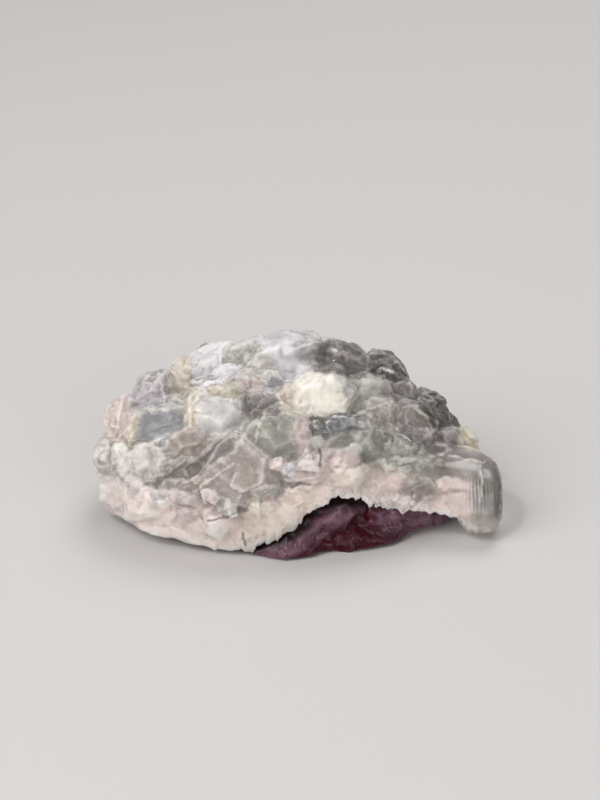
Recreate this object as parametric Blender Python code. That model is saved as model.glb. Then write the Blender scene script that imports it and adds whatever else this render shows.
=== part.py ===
"""A bicolor fluorite specimen: a domed crust of pale intergrown crystals on a base of purple fluorite.

Metres, +Z up. The specimen rests at z = 0 on the flat cleavage face under the purple base, and its display
side faces -Y. Dimensions are written in millimetres and multiplied by MM.
"""

import math
import random

import bmesh
import bpy
from mathutils import Matrix, Vector, noise

MM = 0.001

# The display side is described as it is seen square-on from this height above the horizon, by two distances
# in millimetres: across, to the right of the middle, and up, above the lowest point that shows.
DISPLAY_ELEVATION = math.radians(25)
FRONT_EDGE_Y = -29.0

# The middle in plan of the box the whole specimen fills, which is moved to the origin: x and y.
BOX_MIDDLE = (-0.044, -0.576)

# The dome under the crystals: its crown in plan, its height, and how much sooner it falls to the right.
CROWN_X = -2.0
CROWN_Y = 5.0
CROWN_HEIGHT = 32.5
RIGHT_FALL = 0.36

# Plan of the crust's broken rim, counter-clockwise from the front left: x, y and the height of its lower edge.
CRUST_RIM = (
    (-29, -24.5, 2.2),
    (-21, -26.6, 1.4),
    (-13, -28, 0.8),
    (-7.5, -27.6, 2.0),
    (0, -27, 6.6),
    (7.5, -26, 12.4),
    (15, -25, 11.6),
    (19, -23.8, 9.0),
    (27, -21.5, 7.6),
    (34, -19, 5.6),
    (40, -13, 5.0),
    (42.0, -1, 6.0),
    (39.5, 12, 7.5),
    (33, 20, 8.5),
    (22, 24.5, 8.0),
    (9, 26.5, 9.5),
    (-6, 27, 8.5),
    (-20, 24.5, 7.5),
    (-32, 18, 9.0),
    (-39.4, 8, 8.0),
    (-42.6, -3, 7.0),
    (-42.2, -12, 5.6),
    (-36.8, -20.2, 3.2),
)
CRUST_FLOOR = 11.0
SEAM_CELL = 4.8

# Plan of the purple base where it is widest, and the height of its lower edge there.
PURPLE_RIM = (
    (-27, -21, 1.0),
    (-13, -26.8, 0.5),
    (-3, -28.8, 0.2),
    (6.5, -26.6, 0.4),
    (11, -26.6, 0.3),
    (19, -23.4, 0.4),
    (26, -18.5, 0.8),
    (33, -13.5, 2.2),
    (36, -8, 3.2),
    (36, 4, 3.0),
    (30, 14, 2.5),
    (18, 20.5, 2.0),
    (2, 23, 1.5),
    (-16, 21, 2.0),
    (-30, 13.5, 2.4),
    (-37, 2, 2.8),
    (-36.5, -10, 1.6),
)
FUSED_GAP = 0.3

# Blunt corners that stand out of the purple base: x, y, z and radius.
PURPLE_KNOBS = (
    (-8, -22.5, 3.0, 4.2),
    (1, -22.6, 5.2, 4.6),
    (8, -19.0, 6.0, 6.4),
    (17, -17.6, 5.0, 6.4),
    (25, -13.6, 5.0, 5.6),
    (30, 3, 6.0, 6.0),
    (19, 14, 6.0, 6.0),
    (2, 16.5, 6.0, 6.4),
    (-17, 14.5, 6.0, 6.0),
    (-30, 5, 6.0, 6.0),
    (-30, -9, 4.6, 5.6),
)

# The glassy end of the crust on the right: a lobe that hangs over the end of the base, and the shoulder behind it.
LOBE_CENTRE = (39.7, -13.8, 7.9)
LOBE_HALF_SIZE = (5.2, 8.0, 6.7)
SHOULDER_CENTRE = (34.4, -11.8, 9.4)
SHOULDER_HALF_SIZE = (8.0, 8.8, 6.6)
BLOCK_ROUNDING = 0.64
BLOCK_LEAN = 0.35

# The larger crystals of the display side: across, up, radius, how far each stands out as a share of its
# radius, and its turn about the way it faces, in degrees.
DISPLAY_CRYSTALS = (
    (-41.0, 22.6, 4.8, 0.70, 10),
    (-38.6, 28.6, 6.2, 0.62, 50),
    (-32.5, 36.0, 6.0, 0.55, 25),
    (-26.0, 40.0, 5.6, 0.42, 80),
    (-19.5, 42.0, 6.2, 0.60, 15),
    (-12.0, 44.5, 6.0, 0.42, 62),
    (-4.5, 44.0, 7.0, 0.50, 33),
    (2.0, 46.0, 7.0, 0.50, 5),
    (10.0, 43.0, 7.4, 0.40, 48),
    (19.0, 39.0, 6.6, 0.52, 20),
    (25.0, 33.5, 6.0, 0.42, 70),
    (5.2, 35.2, 6.6, 0.72, 40),
    (-9.5, 38.0, 6.4, 0.38, 12),
    (-18.0, 32.6, 7.6, 0.56, 55),
    (-30.5, 30.0, 7.8, 0.50, 28),
    (-26.5, 23.8, 8.0, 0.52, 5),
    (-36.5, 22.0, 5.6, 0.42, 75),
    (-23.5, 16.5, 6.6, 0.42, 41),
    (-15.5, 25.0, 6.8, 0.50, 18),
    (-8.0, 31.0, 6.0, 0.50, 66),
    (-1.5, 27.6, 7.0, 0.52, 30),
    (-12.5, 17.6, 8.0, 0.46, 8),
    (3.4, 20.5, 6.0, 0.45, 52),
    (14.0, 30.0, 5.4, 0.55, 35),
    (17.5, 34.5, 6.0, 0.48, 77),
    (24.5, 28.5, 7.4, 0.42, 14),
    (30.5, 30.5, 5.6, 0.55, 58),
    (35.5, 25.0, 4.8, 0.60, 22),
    (11.0, 21.5, 6.2, 0.46, 44),
    (17.5, 24.5, 6.4, 0.42, 3),
    (24.0, 20.0, 7.0, 0.34, 69),
    (-18.0, 10.0, 6.8, 0.30, 36),
    (-6.5, 10.5, 6.8, 0.28, 57),
    (-33.5, 13.5, 8.0, 0.26, 17),
    (32.0, 16.5, 7.2, 0.34, 47),
)

# Small sharp corners that catch the light between them: across, up and radius.
DISPLAY_CHIPS = (
    (2.6, 24.0, 2.2),
    (-3.0, 19.6, 2.4),
    (1.2, 27.5, 1.8),
    (-17.5, 13.5, 2.6),
    (-14.5, 11.8, 2.2),
    (12.0, 24.5, 2.4),
    (8.4, 27.0, 2.0),
    (14.2, 31.2, 2.2),
    (20.0, 22.5, 2.2),
    (-22.0, 20.5, 2.2),
    (27.0, 25.0, 2.0),
    (-9.0, 13.5, 2.2),
)

# The crystals that cover the rest of the crust.
FILL_COUNT = 210
FILL_RADIUS = (4.2, 6.4)
FILL_PROUD = (0.32, 0.52)
BARE_BAND = 8.0
SPACING = 0.60

# Faces of a crystal in rings about the way it faces: how many, their tilt in degrees and their distance.
ROUNDED_HABIT = ((3, 14, 1.0), (5, 44, 1.0), (5, 82, 1.0), (3, 135, 1.0))
SHARP_HABIT = ((4, 52, 1.0), (4, 100, 1.0), (3, 150, 1.0))


def clear_scene():
    for obj in list(bpy.data.objects):
        bpy.data.objects.remove(obj, do_unlink=True)


def smoothstep(low, high, value):
    share = min(1.0, max(0.0, (value - low) / (high - low)))
    return share * share * (3 - 2 * share)


def round_curve(stations, centre):
    """A smooth closed curve through plan stations, as a function of the bearing from centre.

    It gives the reach from the centre and the third value of the stations, both by Catmull-Rom interpolation.
    """
    knots = []
    for x, y, height in stations:
        dx = x - centre[0]
        dy = y - centre[1]
        knots.append((math.atan2(dy, dx) % math.tau, math.hypot(dx, dy), height))
    knots.sort()
    count = len(knots)

    def at(bearing):
        bearing %= math.tau
        after = next((i for i, knot in enumerate(knots) if knot[0] > bearing), count)
        chosen = [knots[(after + step) % count] for step in (-2, -1, 0, 1)]
        span = (chosen[2][0] - chosen[1][0]) % math.tau
        t = ((bearing - chosen[1][0]) % math.tau) / span
        weights = (
            (-t + 2 * t * t - t * t * t) / 2,
            (2 - 5 * t * t + 3 * t * t * t) / 2,
            (t + 4 * t * t - 3 * t * t * t) / 2,
            (-t * t + t * t * t) / 2,
        )
        reach = sum(w * knot[1] for w, knot in zip(weights, chosen))
        height = sum(w * knot[2] for w, knot in zip(weights, chosen))
        return reach, height

    return at


crust_rim = round_curve(CRUST_RIM, (CROWN_X, CROWN_Y))
purple_rim = round_curve(PURPLE_RIM, (CROWN_X, CROWN_Y))


def rough(x, y, z, grain, depth, seed=0.0):
    """Uneven height for broken stone: noise of that grain size and depth, in millimetres."""
    return depth * noise.noise(Vector((x / grain + seed, y / grain - seed, z / grain + 2 * seed)))


def in_plan(x, y):
    """The bearing of a plan point from the crown, and its distance as a share of the crust's reach there."""
    dx = x - CROWN_X
    dy = y - CROWN_Y
    bearing = math.atan2(dy, dx)
    return bearing, math.hypot(dx, dy) / crust_rim(bearing)[0]


def dome_height(share, bearing):
    """Height of the dome under the crystals, from its crown (share 0) to the rim (share 1)."""
    rim = crust_rim(bearing)[1]
    falling = RIGHT_FALL * max(0.0, math.cos(bearing))
    round_part = (1 - min(1.0, share) ** (2 - falling)) ** (0.5 + falling)
    return rim + (CROWN_HEIGHT - rim) * round_part


def underside_height(x, y):
    """The broken surface where the pale crust ends and the purple base begins."""
    bearing, share = in_plan(x, y)
    near_rim = smoothstep(0.5, 0.97, share)
    rim = crust_rim(bearing)[1]
    height = CRUST_FLOOR * (1 - near_rim) + rim * near_rim
    return height + rough(x, y, 0, 5.0, 1.2, 3.1) * (1 - 0.5 * near_rim) + rough(x, y, 0, 2.6, 0.6 * near_rim, 9.4)


def new_object(name, bm, collection):
    """A closed body in the collection, moved so that the whole specimen stands centred on the origin."""
    to_middle = Vector((-BOX_MIDDLE[0], -BOX_MIDDLE[1], 0)) * MM
    bmesh.ops.translate(bm, verts=bm.verts, vec=to_middle)
    bmesh.ops.recalc_face_normals(bm, faces=bm.faces)
    mesh = bpy.data.meshes.new(name)
    bm.to_mesh(mesh)
    bm.free()
    obj = bpy.data.objects.new(name, mesh)
    collection.objects.link(obj)
    return obj


def ring_body(name, segments, rings, place, collection):
    """A closed body from a sphere: place(ring, bearing) gives each vertex, from ring 0 at the top pole down."""
    bm = bmesh.new()
    bmesh.ops.create_uvsphere(bm, u_segments=segments, v_segments=rings, radius=1)
    for vert in bm.verts:
        ring = round(math.acos(max(-1.0, min(1.0, vert.co.z))) / math.pi * rings)
        bearing = math.atan2(vert.co.y, vert.co.x)
        vert.co = Vector(place(ring, bearing)) * MM
    return new_object(name, bm, collection)


def build_dome(collection):
    """The crust's body under its crystals, reaching below its rim, where the underside cutter trims it."""
    shares = (0, 0.3, 0.55, 0.72, 0.84, 0.92, 0.97, 1.0, 0.97, 0.5, 0)
    wall_foot = len(shares) - 3

    def place(ring, bearing):
        share = shares[ring]
        reach = crust_rim(bearing)[0] * share
        x = CROWN_X + reach * math.cos(bearing)
        y = CROWN_Y + reach * math.sin(bearing)
        z = dome_height(share, bearing) if ring < wall_foot else -4.0
        if ring < wall_foot:
            x += rough(x, y, z, 4.0, 1.2, 1.7)
            y += rough(x, y, z, 4.0, 1.2, 5.9)
            z += rough(x, y, z, 5.0, 1.2, 8.3)
        return x, y, z

    return ring_body("dome", 64, len(shares) - 1, place, collection)


def height_slab(name, cell, height, other_z, collection):
    """A slab whose one side follows height(x, y) and whose other side is flat at other_z."""
    half_x = 52.0
    half_y = 36.0
    bm = bmesh.new()
    bmesh.ops.create_grid(bm, x_segments=round(2 * half_x / cell), y_segments=round(2 * half_y / cell), size=1)
    rng = random.Random(12)
    for vert in bm.verts:
        inside = abs(vert.co.x) < 0.99 and abs(vert.co.y) < 0.99
        x = vert.co.x * half_x + (rng.uniform(-0.3, 0.3) * cell if inside else 0)
        y = vert.co.y * half_y + (rng.uniform(-0.3, 0.3) * cell if inside else 0)
        vert.co = Vector((x, y, height(x, y))) * MM
    bmesh.ops.triangulate(bm, faces=bm.faces)
    rim_edges = [edge for edge in bm.edges if edge.is_boundary]
    walls = bmesh.ops.extrude_edge_only(bm, edges=rim_edges)["geom"]
    for vert in [item for item in walls if isinstance(item, bmesh.types.BMVert)]:
        vert.co.z = other_z * MM
    bmesh.ops.holes_fill(bm, edges=[edge for edge in bm.edges if edge.is_boundary], sides=0)
    return new_object(name, bm, collection)


def crystal(name, centre, radius, facing, turn, habit, rng, collection):
    """One crystal: a block cut by the planes of its habit, ring by ring about the way it faces."""
    spin = Matrix.Rotation(turn, 3, "Z")
    outwards = Vector((0, 0, 1)).rotation_difference(facing).to_matrix()
    turned = outwards @ spin
    bm = bmesh.new()
    bmesh.ops.create_cube(bm, size=2.6 * radius)
    bmesh.ops.rotate(bm, verts=bm.verts, matrix=turned)
    for ring, (count, tilt, distance) in enumerate(habit):
        for step in range(count):
            around = math.tau * (step + 0.5 * (ring % 2) + rng.uniform(-0.12, 0.12)) / count
            lean = math.radians(tilt + rng.uniform(-6, 6))
            normal = Vector((math.sin(lean) * math.cos(around), math.sin(lean) * math.sin(around), math.cos(lean)))
            normal = turned @ normal
            depth = radius * distance * rng.uniform(0.86, 1.04)
            everything = bm.verts[:] + bm.edges[:] + bm.faces[:]
            cut = bmesh.ops.bisect_plane(
                bm, geom=everything, plane_co=normal * depth, plane_no=normal, clear_outer=True
            )
            loop = [item for item in cut["geom_cut"] if isinstance(item, bmesh.types.BMEdge)]
            if loop:
                bmesh.ops.contextual_create(bm, geom=loop)
    bmesh.ops.dissolve_degenerate(bm, edges=bm.edges, dist=0.06 * radius)
    bmesh.ops.translate(bm, verts=bm.verts, vec=Vector(centre))
    bmesh.ops.scale(bm, verts=bm.verts, vec=Vector((MM, MM, MM)))
    return new_object(name, bm, collection)


def dome_point(x, y):
    """The point of the dome over a plan point, and the way its surface faces there."""
    step = 0.5

    def height(px, py):
        bearing, share = in_plan(px, py)
        return dome_height(share, bearing)

    slope_x = (height(x + step, y) - height(x - step, y)) / (2 * step)
    slope_y = (height(x, y + step) - height(x, y - step)) / (2 * step)
    return Vector((x, y, height(x, y))), Vector((-slope_x, -slope_y, 1)).normalized()


def display_point(across, up):
    """The nearest point of the dome that is seen at that place on the display side."""
    best = None
    y = FRONT_EDGE_Y
    while y < CROWN_Y + 12:
        bearing, share = in_plan(across, y)
        if share < 0.985:
            seen = dome_height(share, bearing) * math.cos(DISPLAY_ELEVATION)
            seen += (y - FRONT_EDGE_Y) * math.sin(DISPLAY_ELEVATION)
            if best is None or seen > best[0]:
                best = (seen, y)
            if seen >= up:
                break
        y += 0.4
    return dome_point(across, best[1])


def plant(name, point, facing, radius, proud, turn, steps, rng, collection):
    """A crystal standing proud of the dome, with smaller ones grown from its shoulders in the same stance."""
    lean = Vector([rng.uniform(-0.3, 0.3) for _ in range(3)])
    stance = (facing + lean).normalized()
    centre = point - facing * radius * (0.95 - proud)
    crystal(name, centre, radius, stance, turn, ROUNDED_HABIT, rng, collection)
    side = stance.orthogonal().normalized()
    for number in range(steps):
        around = Matrix.Rotation(rng.uniform(0, math.tau), 3, stance)
        shoulder = centre + (around @ side) * radius * rng.uniform(0.3, 0.5)
        shoulder += stance * radius * rng.uniform(0.12, 0.3)
        size = radius * rng.uniform(0.6, 0.75)
        crystal(f"{name}_{number}", shoulder, size, stance, turn, ROUNDED_HABIT, rng, collection)


def plant_crystals(collection):
    """The crystals of the display side by hand, then the rest in a sunflower spread where there is room."""
    rng = random.Random(7)
    taken = []
    for number, (across, up, radius, proud, turn) in enumerate(DISPLAY_CRYSTALS):
        point, facing = display_point(across, up)
        plant(f"display_{number:02d}", point, facing, radius, proud, math.radians(turn), 2, rng, collection)
        taken.append((point, radius))
    for number, (across, up, radius) in enumerate(DISPLAY_CHIPS):
        point, facing = display_point(across, up)
        stance = (facing + Vector([rng.uniform(-0.5, 0.5) for _ in range(3)])).normalized()
        centre = point + facing * 1.6
        crystal(f"chip_{number:02d}", centre, radius, stance, rng.uniform(0, 6), SHARP_HABIT, rng, collection)
    golden = math.pi * (3 - math.sqrt(5))
    for number in range(FILL_COUNT):
        share = math.sqrt((number + 0.5) / FILL_COUNT)
        bearing = number * golden
        reach = crust_rim(bearing)[0] * share * 0.99
        x = CROWN_X + reach * math.cos(bearing) + rng.uniform(-1, 1)
        y = CROWN_Y + reach * math.sin(bearing) + rng.uniform(-1, 1)
        point, facing = dome_point(x, y)
        radius = rng.uniform(*FILL_RADIUS)
        rim = crust_rim(bearing)[1]
        low = point.z - rim < BARE_BAND * (1.0 if math.sin(bearing) < 0.2 else 0.4)
        near = any((point - other).length < SPACING * (radius + size) for other, size in taken)
        if low or near:
            continue
        proud = rng.uniform(*FILL_PROUD)
        steps = 1 if y < CROWN_Y else 0
        plant(f"fill_{number:03d}", point, facing, radius, proud, rng.uniform(0, math.tau), steps, rng, collection)
        taken.append((point, radius))


def soft_block(name, centre, half_size, collection):
    """A softened block that leans back a little from the display side."""
    bm = bmesh.new()
    bmesh.ops.create_uvsphere(bm, u_segments=16, v_segments=10, radius=1)
    for vert in bm.verts:
        for axis in range(3):
            value = vert.co[axis]
            vert.co[axis] = math.copysign(abs(value) ** BLOCK_ROUNDING, value)
        x, y, z = (vert.co[axis] * half_size[axis] for axis in range(3))
        y += BLOCK_LEAN * z
        vert.co = Vector((centre[0] + x, centre[1] + y, centre[2] + z)) * MM
    return new_object(name, bm, collection)


def build_purple(collection):
    """The purple base: flat below, broken all round, and reaching above the seam that trims it."""
    profile = (
        (0.0, 20.0),
        (0.90, 18.0),
        (0.88, 11.0),
        (0.90, 7.0),
        (0.95, 4.0),
        (0.99, 1.8),
        (1.0, None),
        (0.86, 0.45),
        (0.72, 0.0),
        (0.0, 0.0),
    )
    flat_from = len(profile) - 2

    def place(ring, bearing):
        share, z = profile[ring]
        reach, foot = purple_rim(bearing)
        if z is None:
            z = foot
        elif 0 < z < 18:
            z += foot
        x = CROWN_X + reach * share * math.cos(bearing)
        y = CROWN_Y + reach * share * math.sin(bearing)
        if 0 < ring < flat_from:
            x += rough(x, y, z, 4.5, 1.6, 2.2)
            y += rough(x, y, z, 4.5, 1.6, 6.1)
        return x, y, z

    return ring_body("purple_base", 46, len(profile) - 1, place, collection)


def boolean(obj, operation, other):
    modifier = obj.modifiers.new(operation.lower(), "BOOLEAN")
    modifier.solver = "EXACT"
    modifier.operation = operation
    if isinstance(other, bpy.types.Collection):
        modifier.operand_type = "COLLECTION"
        modifier.collection = other
    else:
        modifier.object = other


def material(name, colour, roughness, transmission):
    made = bpy.data.materials.new(name)
    made.use_nodes = True
    shader = made.node_tree.nodes["Principled BSDF"]
    shader.inputs["Base Color"].default_value = (*colour, 1)
    shader.inputs["Roughness"].default_value = roughness
    shader.inputs["Metallic"].default_value = 0
    shader.inputs["IOR"].default_value = 1.434
    shader.inputs["Transmission Weight"].default_value = transmission
    made.diffuse_color = (*colour, 1)
    return made


def new_collection(name, hidden=False):
    made = bpy.data.collections.new(name)
    bpy.context.scene.collection.children.link(made)
    made.hide_render = hidden
    return made


def main():
    clear_scene()
    specimen = new_collection("bicolor_fluorite")
    crystals = new_collection("crystals", hidden=True)
    knobs = new_collection("purple_knobs", hidden=True)
    cutters = new_collection("cutters", hidden=True)

    crust = build_dome(specimen)
    crust.name = "pale_crystal_crust"
    plant_crystals(crystals)
    underside = height_slab("underside", SEAM_CELL, underside_height, -30.0, cutters)
    soft_block("shoulder", SHOULDER_CENTRE, SHOULDER_HALF_SIZE, crystals)
    lobe = soft_block("lobe", LOBE_CENTRE, LOBE_HALF_SIZE, cutters)
    boolean(crust, "UNION", crystals)
    boolean(crust, "DIFFERENCE", underside)
    boolean(crust, "UNION", lobe)
    crust.data.materials.append(material("pale_fluorite", (0.62, 0.64, 0.62), 0.25, 0.5))

    purple = build_purple(specimen)
    rng = random.Random(31)
    for number, (x, y, z, radius) in enumerate(PURPLE_KNOBS):
        outwards = Vector((x - CROWN_X, y - CROWN_Y, rng.uniform(-8, 8))).normalized()
        centre = (x, y, max(z, radius * 0.75))
        crystal(f"knob_{number:02d}", centre, radius, outwards, rng.uniform(0, 6), ROUNDED_HABIT, rng, knobs)
    above = height_slab("above_seam", SEAM_CELL, lambda x, y: underside_height(x, y) - FUSED_GAP, 60.0, cutters)
    below = height_slab("below_rest", 52.0, lambda x, y: 0.0, -30.0, cutters)
    clear_of_lobe = [half + FUSED_GAP for half in LOBE_HALF_SIZE]
    beside_lobe = soft_block("beside_lobe", LOBE_CENTRE, clear_of_lobe, cutters)
    boolean(purple, "UNION", knobs)
    boolean(purple, "DIFFERENCE", above)
    boolean(purple, "DIFFERENCE", below)
    boolean(purple, "DIFFERENCE", beside_lobe)
    purple.data.materials.append(material("purple_fluorite", (0.07, 0.03, 0.10), 0.3, 0.2))

    for helper in [*crystals.objects, *knobs.objects, *cutters.objects]:
        helper.hide_render = True
        helper.display_type = "WIRE"


main()
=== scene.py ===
"""Looks of the bicolor fluorite specimen: the pale crystal crust and the purple base, on a pale floor."""

import math
import random

import bmesh
import bpy
import numpy as np
from mathutils import Matrix, Vector
from mathutils.bvhtree import BVHTree


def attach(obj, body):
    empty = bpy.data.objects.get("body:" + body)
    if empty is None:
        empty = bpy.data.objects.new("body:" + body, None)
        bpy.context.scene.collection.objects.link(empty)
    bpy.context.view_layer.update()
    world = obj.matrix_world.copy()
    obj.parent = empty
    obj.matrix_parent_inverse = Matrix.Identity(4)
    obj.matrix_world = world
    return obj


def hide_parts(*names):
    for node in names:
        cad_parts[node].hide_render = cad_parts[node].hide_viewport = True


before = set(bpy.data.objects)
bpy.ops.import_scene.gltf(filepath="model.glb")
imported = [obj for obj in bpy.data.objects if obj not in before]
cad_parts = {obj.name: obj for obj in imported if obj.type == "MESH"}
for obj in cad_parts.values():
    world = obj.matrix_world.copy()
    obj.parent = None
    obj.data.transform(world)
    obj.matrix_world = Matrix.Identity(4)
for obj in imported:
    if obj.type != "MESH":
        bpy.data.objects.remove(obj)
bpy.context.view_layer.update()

MM = 0.001

# The display side is seen from this far above the horizon, by a camera this far from the specimen's middle.
VIEW_ELEVATION = math.radians(25)
CAMERA_DISTANCE = 500 * MM
SENSOR = 36.0
FRAME_WIDTH = 600
FRAME_HEIGHT = 800
MM_PER_PIXEL = 0.2195
# The lowest point of the front edge, and how far behind it the plane lies on which sizes are true.
FRONT_FOOT = Vector((0.044, -28.42, 0)) * MM
TRUE_DEPTH = 12 * MM
FRAME_MIDDLE = (0.55, 34.2)

LOOK = Vector((0, math.cos(VIEW_ELEVATION), -math.sin(VIEW_ELEVATION)))
VIEW_UP = Vector((0, math.sin(VIEW_ELEVATION), math.cos(VIEW_ELEVATION)))
VIEW_RIGHT = Vector((1, 0, 0))
TRUE_PLANE = FRONT_FOOT + LOOK * TRUE_DEPTH
CAMERA_TARGET = TRUE_PLANE + VIEW_RIGHT * FRAME_MIDDLE[0] * MM + VIEW_UP * FRAME_MIDDLE[1] * MM
CAMERA_PLACE = CAMERA_TARGET - LOOK * CAMERA_DISTANCE

# The middle of the crust's dome, from which its crystals grow outwards.
HEART = Vector((-2, 4, 2)) * MM

# Tones of the fluorite, as linear colours.
TONES = {
    "white": (0.99, 0.97, 0.91),
    "pearl": (0.92, 0.89, 0.80),
    "ice": (0.77, 0.78, 0.83),
    "haze": (0.70, 0.69, 0.69),
    "milk": (0.68, 0.67, 0.63),
    "cream": (0.84, 0.76, 0.64),
    "gold": (0.74, 0.66, 0.50),
    "lavender": (0.68, 0.65, 0.71),
    "blush": (0.95, 0.84, 0.82),
    "pink": (0.80, 0.67, 0.65),
    "mauve": (0.48, 0.45, 0.50),
    "sage": (0.44, 0.45, 0.40),
    "blue": (0.36, 0.38, 0.41),
    "taupe": (0.50, 0.44, 0.41),
    "brown": (0.43, 0.36, 0.33),
    "dusk": (0.28, 0.25, 0.245),
    "olive": (0.25, 0.24, 0.16),
    "slate": (0.12, 0.135, 0.17),
    "smoke": (0.10, 0.10, 0.10),
    "night": (0.030, 0.032, 0.027),
}

# Tones of the seeded crystals: heart, edge, clearness.
FILL_TONES = (
    ("milk", "cream", 0.1), ("blue", "cream", 0.3), ("lavender", "white", 0.1), ("brown", "pink", 0.25),
    ("sage", "milk", 0.2), ("smoke", "gold", 0.4), ("olive", "gold", 0.25), ("milk", "white", 0.1),
    ("pink", "milk", 0.2),
)

# The crystals of the display side: x, y, half-width and half-height in pixels of the 600 x 800 frame, turn in
# degrees, how far each stands proud as a share of its depth, habit, tone of heart and edge, clearness.
DISPLAY_CRYSTALS = (
    (210, 370, 23, 16, 12, 0.45, "pyramid", "ice", "lavender", -0.1),
    (183, 377, 12, 16, 0, 0.20, "dome", "cream", "milk", 0.1),
    (151, 392, 17, 12, 40, 0.40, "slab", "mauve", "lavender", 0.15),
    (120, 421, 11, 19, -25, 0.35, "slab", "pink", "milk", 0.1),
    (108, 459, 10, 15, 10, 0.30, "pyramid", "milk", "cream", 0.1),
    (124, 459, 11, 15, 0, 0.15, "dome", "white", "pink", 0.0),
    (158, 427, 28, 18, 4, 0.25, "slab", "blue", "cream", 0.1),
    (215, 415, 26, 22, 20, 0.40, "dome", "haze", "gold", 0.0),
    (225, 390, 17, 9, 15, 0.30, "dome", "gold", "sage", 0.25),
    (262, 405, 19, 13, -5, 0.05, "dome", "dusk", "olive", 0.5),
    (249, 384, 14, 10, 0, 0.10, "dome", "pink", "brown", 0.1),
    (274, 385, 9, 11, 0, 0.15, "slab", "mauve", "blue", 0.15),
    (241, 355, 17, 9, 10, 0.25, "dome", "milk", "sage", 0.1),
    (262, 366, 16, 14, 0, 0.15, "dome", "milk", "lavender", 0.1),
    (288, 353, 26, 19, 20, 0.30, "dome", "ice", "cream", 0.0),
    (298, 344, 13, 9, 0, 0.3, "dome", "blue", "mauve", 0.15),
    (290, 399, 14, 11, 0, 0.15, "dome", "cream", "gold", 0.0),
    (277, 434, 22, 20, -10, 0.30, "dome", "sage", "cream", 0.3),
    (185, 442, 21, 15, 0, 0.10, "dome", "brown", "pink", 0.2),
    (218, 450, 19, 13, 30, 0.35, "dome", "dusk", "cream", 0.2),
    (147, 461, 18, 17, 0, 0.20, "dome", "milk", "cream", 0.1),
    (178, 471, 26, 12, 10, 0.15, "slab", "dusk", "pink", 0.3),
    (240, 474, 32, 26, 0, 0.30, "dome", "taupe", "pink", 0.1),
    (338, 361, 27, 13, -18, 0.25, "dome", "dusk", "blue", 0.6),
    (387, 371, 20, 10, -25, 0.30, "dome", "night", "slate", 0.1),
    (393, 391, 19, 13, -20, 0.20, "slab", "dusk", "brown", 0.3),
    (367, 394, 21, 15, 0, 0.10, "dome", "milk", "gold", 0.3),
    (321, 399, 26, 21, 28, 0.55, "dome", "pearl", "gold", -0.1),
    (348, 391, 6, 7, 0, 0.60, "dome", "milk", "white", 0.2),
    (385, 414, 18, 13, -10, 0.20, "dome", "brown", "gold", 0.2),
    (340, 424, 12, 7, 0, 0.05, "dome", "slate", "blue", 0.1),
    (317, 427, 10, 9, 0, 0.05, "dome", "smoke", "olive", 0.0),
    (362, 423, 10, 8, 0, 0.30, "slab", "dusk", "sage", 0.1),
    (415, 424, 18, 16, -35, 0.25, "slab", "dusk", "pink", 0.3),
    (434, 415, 16, 10, -35, 0.25, "dome", "night", "gold", 0.4),
    (450, 441, 11, 10, -20, 0.15, "dome", "dusk", "gold", 0.4),
    (466, 442, 11, 9, -30, 0.20, "dome", "gold", "cream", 0.1),
    (366, 441, 19, 14, 0, 0.15, "dome", "sage", "dusk", 0.5),
    (345, 458, 13, 9, 30, 0.10, "slab", "pink", "milk", 0.25),
    (301, 434, 9, 16, 8, 0.30, "slab", "pink", "milk", 0.25),
    (399, 450, 14, 10, -20, 0.20, "dome", "sage", "olive", 0.45),
    (408, 467, 23, 12, 0, 0.15, "dome", "sage", "cream", 0.05),
    (415, 486, 16, 9, 0, 0.02, "dome", "dusk", "brown", 0.4),
    (310, 474, 20, 9, 0, 0.10, "dome", "pink", "cream", 0.2),
    (118, 492, 18, 17, 0, 0.05, "dome", "blush", "pink", 0.15),
    (150, 506, 21, 14, 10, 0.15, "dome", "blush", "ice", 0.1),
    (190, 514, 14, 12, 0, 0.10, "dome", "pink", "lavender", 0.3),
)

# Patches of tone that have no crystal of their own: x, y, half-width and half-height in pixels, turn in
# degrees, tone of the middle and the edge, clearness.
TONE_PATCHES = (
    (191, 414, 6, 19, -8, "gold", "cream", 0.1),
    (132, 430, 5, 18, -8, "gold", "gold", 0.1),
    (210, 534, 26, 12, -15, "blush", "pink", 0.1),
    (262, 528, 28, 18, 25, "cream", "pink", 0.2),
    (308, 500, 20, 14, 30, "cream", "pink", 0.2),
    (350, 482, 24, 10, 0, "cream", "white", 0.15),
    (388, 482, 12, 8, 0, "pink", "cream", 0.1),
    (395, 503, 24, 7, 0, "pink", "ice", 0.1),
    (455, 503, 15, 11, -10, "pink", "cream", 0.2),
    (430, 494, 11, 7, 0, "dusk", "dusk", 0.25),
    (452, 483, 17, 4, 0, "pink", "lavender", 0.25),
    (450, 492, 16, 2, 0, "brown", "dusk", 0.45),
    (455, 470, 22, 7, 0, "dusk", "dusk", 0.6),
    (457, 453, 26, 7, -6, "dusk", "pink", 0.3),
    (478, 495, 6, 19, 0, "dusk", "milk", 0.7),
    (493, 492, 11, 20, 0, "smoke", "dusk", 0.7),
    (485, 524, 17, 9, 0, "brown", "pink", 0.5),
    (182, 482, 19, 6, 4, "taupe", "pink", 0.1),
    (264, 491, 13, 7, 0, "milk", "pink", 0.1),
)

# All places that give tones: the crystals and the patches, in one form.
TONE_PLACES = [(*row[:5], *row[7:]) for row in DISPLAY_CRYSTALS] + list(TONE_PATCHES)

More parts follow.
